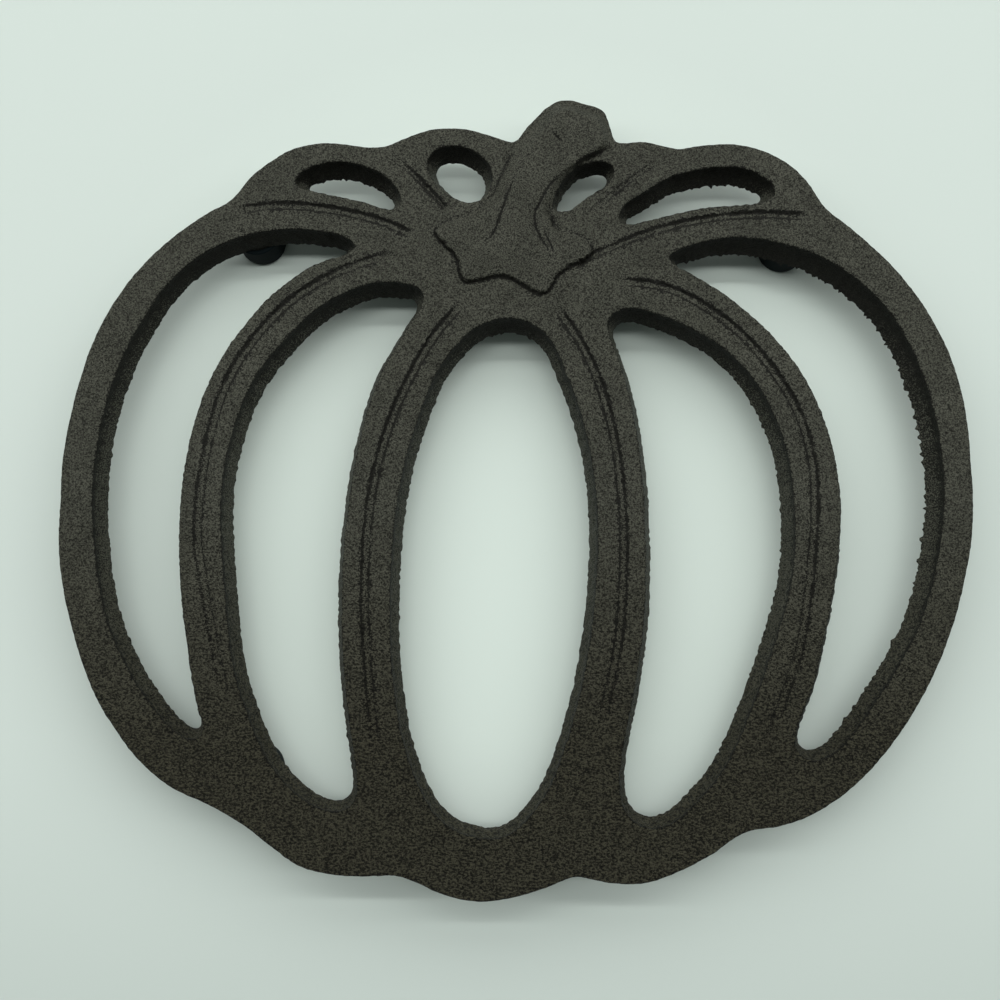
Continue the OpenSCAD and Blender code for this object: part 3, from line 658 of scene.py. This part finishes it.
def makeCasting():
    edges = [makeEdge(outline, True)] + [makeEdge(opening) for opening in openings.values()]
    walls, wallShades = zip(*[wallRows(edge) for edge in edges])
    topRings = [rows[0][:, :2] for rows in walls]
    underRings = [rows[-1][:, :2] for rows in walls]
    border = np.vstack(topRings)

    features = featurePoints()
    features = clearOf(features[inside(features, topRings)], border, sharpRows["borderGap"])
    field = hexGrid(plate["faceStep"])
    field = field[inside(field, topRings)]
    field = clearOf(field, border, sharpRows["fieldBorderGap"] * plate["faceStep"])
    field = clearOf(field, features, sharpRows["fieldGap"] * plate["faceStep"])
    topInner = np.vstack([features, field])

    circle = np.linspace(0, 2 * math.pi, pegs["sides"], endpoint=False)
    unit = np.column_stack([np.cos(circle), np.sin(circle)])
    pegRings = [centre + pegs["radius"] * unit for centre in pegCentres]
    field = hexGrid(plate["underStep"])
    field = field[inside(field, underRings)]
    field = clearOf(field, np.vstack(underRings + pegRings), sharpRows["underGap"] * plate["underStep"])
    underInner = field[~inside(field, pegRings)]

    points, shades, faces, start = [], [], [], 0

    def add(rows, shade=1.0):
        nonlocal start
        points.append(rows)
        shades.append(np.broadcast_to(shade, len(rows)))
        start += len(rows)
        return start - len(rows)
    topIds, underIds = [], []
    for rows, rowShades in zip(walls, wallShades):
        ids = [add(row, shade) for row, shade in zip(rows, rowShades)]
        turn = np.arange(len(rows[0]))
        faces += [quadBand(upper, lower, len(turn)) for upper, lower in zip(ids, ids[1:])]
        topIds.append(ids[0] + turn)
        underIds.append(ids[-1] + turn)
    z, hollow = topSurface(topInner)
    innerIds = add(np.column_stack([topInner, z]), hollow) + np.arange(len(topInner))
    faces.append(np.concatenate(topIds + [innerIds])[fillBetween(topRings, topInner)])

    pegTurn = np.arange(pegs["sides"])
    pegIds = []
    for ring in pegRings:
        levels = [(0, underZ), (0, castLow.z + pegs["bevel"]), (pegs["bevel"], castLow.z)]
        centre = ring.mean(0)
        ids = [add(flat(centre + (ring - centre) * (1 - inset / pegs["radius"]), z)) for inset, z in levels]
        faces += [quadBand(upper, lower, pegs["sides"]) for upper, lower in zip(ids, ids[1:])]
        tip = add(flat([centre], castLow.z))
        faces.append(np.column_stack([ids[-1] + (pegTurn + 1) % pegs["sides"], ids[-1] + pegTurn,
                                      np.full(pegs["sides"], tip)]))
        pegIds.append(ids[0] + pegTurn)
    lift = plate["ripple"] * (1 + uneven(flat(underInner), plate["rippleSize"], plate["seed"]))
    innerIds = add(np.column_stack([underInner, underZ + lift])) + np.arange(len(underInner))
    underFaces = fillBetween(underRings + pegRings, underInner)
    faces.append(np.concatenate(underIds + pegIds + [innerIds])[underFaces][:, ::-1])

    mesh = bpy.data.meshes.new("ironCasting")
    mesh.from_pydata(np.vstack(points).tolist(), [], [face for band in faces for face in band.tolist()])
    # painted shade for the grooves, creases, walls and edges, kept on the mesh points for the finish
    paintedShadeLayer = mesh.attributes.new("hollow", "FLOAT", "POINT")
    paintedShadeLayer.data.foreach_set("value", np.concatenate(shades))
    mesh.shade_smooth()
    mesh.set_sharp_from_angle(angle=math.radians(plate["sharpFrom"]))
    print("casting made:", sum(len(band) * (band.shape[1] - 2) for band in faces), "triangles")
    return addPiece("iron_casting_detailed", mesh)


casting = makeCasting()


def addNode(tree, kind, inputs, **choices):
    # the outputs of a new node, with each input given linked or set to a fixed value
    node = tree.nodes.new(kind)
    for name, choice in choices.items():
        setattr(node, name, choice)
    for name, value in inputs.items():
        if isinstance(value, bpy.types.NodeSocket):
            tree.links.new(value, node.inputs[name])
        else:
            node.inputs[name].default_value = value
    return node.outputs


def addSockets(tree, direction, kinds):
    for name, kind in kinds.items():
        tree.interface.new_socket(name, in_out=direction, socket_type="NodeSocket" + kind)


# Foot caps: one node tree turns a profile about its axis

footCap = {
    "wall": 1.3 * mm,
    "floor": 1.6 * mm,
    "footRound": 1.2 * mm,
    "rimRound": 0.35 * mm,
    "boreRound": 0.2 * mm,
    "cornerSteps": 6,
    "sides": 72,
    "sharpFrom": 40,           # degrees
}


def capTree():
    tree = bpy.data.node_groups.new("turnedFootCap", "GeometryNodeTree")
    addSockets(tree, "INPUT", {"Profile": "Geometry", "Sides": "Int", "Corner Steps": "Int",
                               "Place": "Vector", "Core Radius": "Float", "Material": "Material"})
    addSockets(tree, "OUTPUT", {"Cap": "Geometry"})
    given = tree.nodes.new("NodeGroupInput").outputs
    rounding = addNode(tree, "GeometryNodeInputNamedAttribute", {"Name": "rounding"})
    curve = addNode(tree, "GeometryNodeMeshToCurve", {"Mesh": given["Profile"]})
    fillet = addNode(tree, "GeometryNodeFilletCurve", {
        "Curve": curve[0], "Radius": rounding["Attribute"], "Limit Radius": True,
        "Count": given["Corner Steps"]}, mode="POLY")
    core = addNode(tree, "GeometryNodeCurvePrimitiveCircle", {
        "Resolution": given["Sides"], "Radius": given["Core Radius"]})
    sweep = addNode(tree, "GeometryNodeCurveToMesh", {"Curve": core["Curve"], "Profile Curve": fillet[0]})
    closed = addNode(tree, "GeometryNodeMergeByDistance", {"Geometry": sweep[0], "Distance": tiny})
    moved = addNode(tree, "GeometryNodeTransform", {"Geometry": closed[0], "Translation": given["Place"]})
    real = addNode(tree, "GeometryNodeRealizeInstances", {"Geometry": moved[0]})
    finish = addNode(tree, "GeometryNodeSetMaterial", {"Geometry": real[0], "Material": given["Material"]})
    addNode(tree, "NodeGroupOutput", {"Cap": finish[0]})
    return tree


def makeFootCap(node, tree, material):
    # the profile runs from the axis up the bore, over the rim and down to the sole
    low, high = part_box(node)
    radius, height = (high.x - low.x) / 2, high.z
    core = radius / 2
    profile = [
        (0, footCap["floor"], 0),
        (radius - footCap["wall"], footCap["floor"], footCap["boreRound"]),
        (radius - footCap["wall"], height, footCap["rimRound"]),
        (radius, height, footCap["rimRound"]),
        (radius, 0, footCap["footRound"]),
        (0, 0, 0)]
    mesh = bpy.data.meshes.new(node + "_profile")
    mesh.from_pydata([(r - core, -z, 0) for r, z, _ in profile],
                     [(i, i + 1) for i in range(len(profile) - 1)], [])
    rounding = mesh.attributes.new("rounding", "FLOAT", "POINT")
    rounding.data.foreach_set("value", [row[2] for row in profile])
    source = addPiece(node + "_source", mesh)
    turning = source.modifiers.new("turning", "NODES")
    turning.node_group = tree
    settings = {"Sides": footCap["sides"], "Corner Steps": footCap["cornerSteps"], "Core Radius": core,
                "Place": ((low.x + high.x) / 2, (low.y + high.y) / 2, 0), "Material": material}
    for item in tree.interface.items_tree:
        if item.in_out == "INPUT" and item.name in settings:
            turning[item.identifier] = settings[item.name]
    evaluated = source.evaluated_get(bpy.context.evaluated_depsgraph_get())
    capMesh = bpy.data.meshes.new_from_object(evaluated)
    bpy.data.objects.remove(source)
    capMesh.name = node + "_turned"
    capMesh.shade_smooth()
    capMesh.set_sharp_from_angle(angle=math.radians(footCap["sharpFrom"]))
    return addPiece(node + "_detailed", capMesh)


# Nodes that the finishes are made of

def combined(tree, operation, *values):
    return addNode(tree, "ShaderNodeMath", dict(enumerate(values)), operation=operation)[0]


def mixed(tree, share, first, second):
    # the colours are at sockets 6 and 7
    return addNode(tree, "ShaderNodeMix", {0: share, 6: first, 7: second}, data_type="RGBA")[2]


def rising(tree, value, low, high, toHigh=1):
    # 0 where the value is low, and the last number where it is high
    return addNode(tree, "ShaderNodeMapRange", {
        "Value": value, "From Min": low, "From Max": high, "To Max": toHigh})["Result"]


def towardsRear(tree, place):
    return addNode(tree, "ShaderNodeSeparateXYZ", {0: place})["Y"]


# Finishes: both share a group that gives grain, pits and mottling

sandGrain = {
    "fine": (1, 3, 0.65),      # of each noise, its scale against the look's, its detail and roughness
    "lumps": (0.5, 4, 0.6),
    "mottle": (0.04, 4, 0.6),
    "pits": (0.45, 2, 0.5),
    "squeeze": (1, 1.5, 1),    # lumps and pits are longer across the plate
    "lumpMiddle": 0.5,
    "lumpTint": 0.4,           # how far the lumps show in the tone, their low parts painted darker as shade, and not only in the height
    "coarsePits": 0.028,       # how many more pits coarser sand leaves
    "pitRange": (0.67, 0.75),
    "grainRange": (0.39, 0.61),
    "mottleRange": (0.3, 0.7),
}


def grainGroup():
    group = bpy.data.node_groups.new("castGrain", "ShaderNodeTree")
    addSockets(group, "INPUT", {"Place": "Vector", "Grain Scale": "Float", "Coarseness": "Float",
                                "Pit Amount": "Float"})
    addSockets(group, "OUTPUT", {"Height": "Float", "Grain": "Float", "Mottle": "Float", "Pits": "Float"})
    given = group.nodes.new("NodeGroupInput").outputs
    squeezed = addNode(group, "ShaderNodeVectorMath", {
        0: given["Place"], 1: sandGrain["squeeze"]}, operation="MULTIPLY")[0]

    def noiseOf(name, place):
        scaleBy, detail, roughness = sandGrain[name]
        scale = combined(group, "MULTIPLY", given["Grain Scale"], scaleBy)
        cloud = addNode(group, "ShaderNodeTexNoise", {
            "Vector": place, "Scale": scale, "Detail": detail, "Roughness": roughness})
        return cloud["Factor" if "Factor" in cloud else "Fac"]
    fine = noiseOf("fine", given["Place"])
    swell = combined(group, "SUBTRACT", noiseOf("lumps", squeezed), sandGrain["lumpMiddle"])
    pits = combined(group, "MULTIPLY_ADD", given["Coarseness"], sandGrain["coarsePits"],
                    noiseOf("pits", squeezed))
    pits = combined(group, "MULTIPLY", rising(group, pits, *sandGrain["pitRange"]), given["Pit Amount"])
    relief = combined(group, "MULTIPLY_ADD", swell, given["Coarseness"], fine)
    tint = combined(group, "MULTIPLY", given["Coarseness"], sandGrain["lumpTint"])
    grain = combined(group, "MULTIPLY_ADD", swell, tint, fine)
    addNode(group, "NodeGroupOutput", {
        "Height": combined(group, "SUBTRACT", relief, pits),
        "Grain": rising(group, grain, *sandGrain["grainRange"]),
        "Mottle": rising(group, noiseOf("mottle", given["Place"]), *sandGrain["mottleRange"]),
        "Pits": pits})
    return group


castIronLook = {
    "light": (0.09, 0.093, 0.072, 1),
    "dark": (0.067, 0.07, 0.053, 1),
    # the dark end of the grain, partly the sand's own darker grains and partly painted shade in its hollows
    "shadedGrainLight": (0.009, 0.009, 0.0055, 1),
    "shadedGrainDark": (0.006, 0.006, 0.0035, 1),
    # the dark of the pits, and the dark that the painted shade goes to
    "pitAndShade": (0.003, 0.003, 0.002, 1),
    "frontToneAndShade": (0.058, 0.056, 0.037, 1),
    "frontFrom": -5 * mm,      # where towards the front the sand begins to show coarser, and the tone browner and darker with painted shade
    "frontTo": -60 * mm,
    "paintedShadeFrom": 0.2,         # how much painted shade there is before it shows, and over how much it comes in
    "hollowRange": 0.2,
    "paintedShadeShare": 0.85,       # how far the painted shade darkens the colour towards the pits' dark
    "raggedness": 0.5,         # how far the grain breaks up the edges of the painted shade
    "roughness": 0.55,
    "gloss": 0.15,
    "grainScale": 3100,
    "grainHeight": 0.3 * mm,
    "coarseness": 0.4,
    "frontCoarser": 2.6,       # and how much coarser the front is
    "pitAmount": 0.7,
}
rubberLook = {
    "light": (0.0035, 0.007, 0.008, 1),
    "dark": (0.002, 0.0045, 0.005, 1),
    "roughness": 0.6,
    "gloss": 0.05,
    "grainScale": 1200,
    "grainHeight": 0.02 * mm,
    "coarseness": 0.5,
    "pitAmount": 0.1,
}


def startMaterial(name, look):
    material = bpy.data.materials.new(name)
    material.use_nodes = True
    tree = material.node_tree
    shader = tree.nodes["Principled BSDF"]
    shader.inputs["Roughness"].default_value = look["roughness"]
    shader.inputs["Specular IOR Level"].default_value = look["gloss"]
    return material, tree, shader, tree.nodes.new("ShaderNodeTexCoord").outputs["Object"]


def addGrain(tree, shader, place, look, coarseness):
    grain = addNode(tree, "ShaderNodeGroup", {
        "Place": place, "Grain Scale": look["grainScale"], "Coarseness": coarseness,
        "Pit Amount": look["pitAmount"]}, node_tree=grainNodes)
    bump = addNode(tree, "ShaderNodeBump", {"Distance": look["grainHeight"], "Height": grain["Height"]})
    tree.links.new(bump["Normal"], shader.inputs["Normal"])
    return grain


def ironMaterial():
    look = castIronLook
    material, tree, shader, place = startMaterial("castIron", look)
    front = rising(tree, towardsRear(tree, place), look["frontFrom"], look["frontTo"])
    coarseness = combined(tree, "MULTIPLY_ADD", front, look["frontCoarser"], look["coarseness"])
    grain = addGrain(tree, shader, place, look, coarseness)
    # the grain runs from its dark end, partly painted shade, to the light tone
    low = mixed(tree, grain["Mottle"], look["shadedGrainDark"], look["shadedGrainLight"])
    high = mixed(tree, grain["Mottle"], look["dark"], look["light"])
    # towards the front the light tone turns browner and darker; the darkening is painted shade for the
    # coarse sand's shadowing and lost sheen
    high = mixed(tree, front, high, look["frontToneAndShade"])
    colour = mixed(tree, grain["Grain"], low, high)
    colour = mixed(tree, grain["Pits"], colour, look["pitAndShade"])
    # painted shade from the mesh, broken up by the grain, darkens the colour towards the pits' dark
    hollow = addNode(tree, "ShaderNodeAttribute", {}, attribute_name="hollow")["Fac"]
    ragged = combined(tree, "MULTIPLY_ADD", grain["Grain"], -look["raggedness"], hollow)
    shown = look["paintedShadeFrom"] - look["raggedness"] / 2
    shade = rising(tree, ragged, shown, shown + look["hollowRange"], look["paintedShadeShare"])
    tree.links.new(mixed(tree, shade, colour, look["pitAndShade"]), shader.inputs["Base Color"])
    return material


def rubberMaterial():
    look = rubberLook
    material, tree, shader, place = startMaterial("capRubber", look)
    grain = addGrain(tree, shader, place, look, look["coarseness"])
    colour = mixed(tree, grain["Mottle"], look["dark"], look["light"])
    tree.links.new(colour, shader.inputs["Base Color"])
    return material


grainNodes = grainGroup()
castIron = ironMaterial()
capRubber = rubberMaterial()
print("finishes made")

casting.data.materials.append(castIron)
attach(casting, "root")
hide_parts("iron_casting")

turnedCap = capTree()
for node in capNodes:
    cap = makeFootCap(node, turnedCap, capRubber)
    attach(cap, "root")
    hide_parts(node)
print("foot caps made:", len(capNodes))

# Floor, light and camera

setting = {
    "floorColour": (0.67, 0.765, 0.7, 1),
    "floorOuterShade": (0.61, 0.69, 0.64, 1),
    "outerFrom": 70 * mm,      # distances from the middle over which it turns to the darker outer colour, a painted falloff of the light
    "outerTo": 120 * mm,
    "floorFrontShade": (0.555, 0.63, 0.585, 1),
    "frontFrom": -60 * mm,     # and where towards the front it turns to the darker front colour, painted shade
    "frontTo": -120 * mm,
    "roughness": 0.7,
    "gloss": 0.5,
    "floorHalf": 1500 * mm,
    "lamps": {                 # two long soft lamps overhead and a wide low one behind them
        "nearLamp": {"place": (0, 0.05, 1), "power": 11, "wide": 0.14},
        "farLamp": {"place": (0, 0.53, 1), "power": 14, "wide": 0.065},
        "lowLamp": {"place": (0, 1.6, 1.15), "power": 26, "wide": 0.9},
    },
    "lampLong": 5,
    "skyColour": (0.92, 1, 0.96, 1),
    "skyStrength": 0.16,
}
view = {
    "place": (-0.6 * mm, -33 * mm, 242.2 * mm),
    "target": (-3.3 * mm, -4.4 * mm, 13.4 * mm),
    "lens": 36,
    "sensor": 36,
    "nearest": 10 * mm,
}


def makeFloor():
    half = setting["floorHalf"]
    mesh = bpy.data.meshes.new("paleFloor")
    corners = [(-half, -half, 0), (half, -half, 0), (half, half, 0), (-half, half, 0)]
    mesh.from_pydata(corners, [], [(0, 1, 2, 3)])
    floor = addPiece("pale_floor", mesh)
    material, tree, shader, place = startMaterial("paleFloor", setting)
    # painted falloff of the light: darker away from the middle and towards the front
    reach = addNode(tree, "ShaderNodeVectorMath", {0: place}, operation="LENGTH")["Value"]
    outer = rising(tree, reach, setting["outerFrom"], setting["outerTo"])
    front = rising(tree, towardsRear(tree, place), setting["frontFrom"], setting["frontTo"])
    colour = mixed(tree, outer, setting["floorColour"], setting["floorOuterShade"])
    colour = mixed(tree, front, colour, setting["floorFrontShade"])
    tree.links.new(colour, shader.inputs["Base Color"])
    mesh.materials.append(material)


def makeLight():
    for name, choice in setting["lamps"].items():
        lamp = bpy.data.lights.new(name, "AREA")
        lamp.shape = "RECTANGLE"
        lamp.size = setting["lampLong"]
        lamp.size_y = choice["wide"]
        lamp.energy = choice["power"]
        piece = addPiece(name, lamp)
        piece.location = choice["place"]
        # turned about X so that it faces the middle of the plate
        piece.rotation_euler = (-math.atan2(choice["place"][1], choice["place"][2]), 0, 0)
    sky = bpy.data.worlds.new("paleSky")
    sky.use_nodes = True
    background = sky.node_tree.nodes["Background"]
    background.inputs["Color"].default_value = setting["skyColour"]
    background.inputs["Strength"].default_value = setting["skyStrength"]
    bpy.context.scene.world = sky


def makeCamera():
    lens = bpy.data.cameras.new("viewLens")
    lens.lens = view["lens"]
    lens.sensor_width = view["sensor"]
    lens.clip_start = view["nearest"]
    camera = addPiece("view_camera", lens)
    place = Vector(view["place"])
    forward = (Vector(view["target"]) - place).normalized()
    right = forward.cross(Vector((0, 1, 0))).normalized()
    up = right.cross(forward)
    turn = Matrix((right, up, -forward)).transposed()
    camera.matrix_world = Matrix.Translation(place) @ turn.to_4x4()
    bpy.context.scene.camera = camera


makeFloor()
makeLight()
makeCamera()
bpy.context.scene.view_settings.view_transform = "Standard"
print("floor, light and camera made")
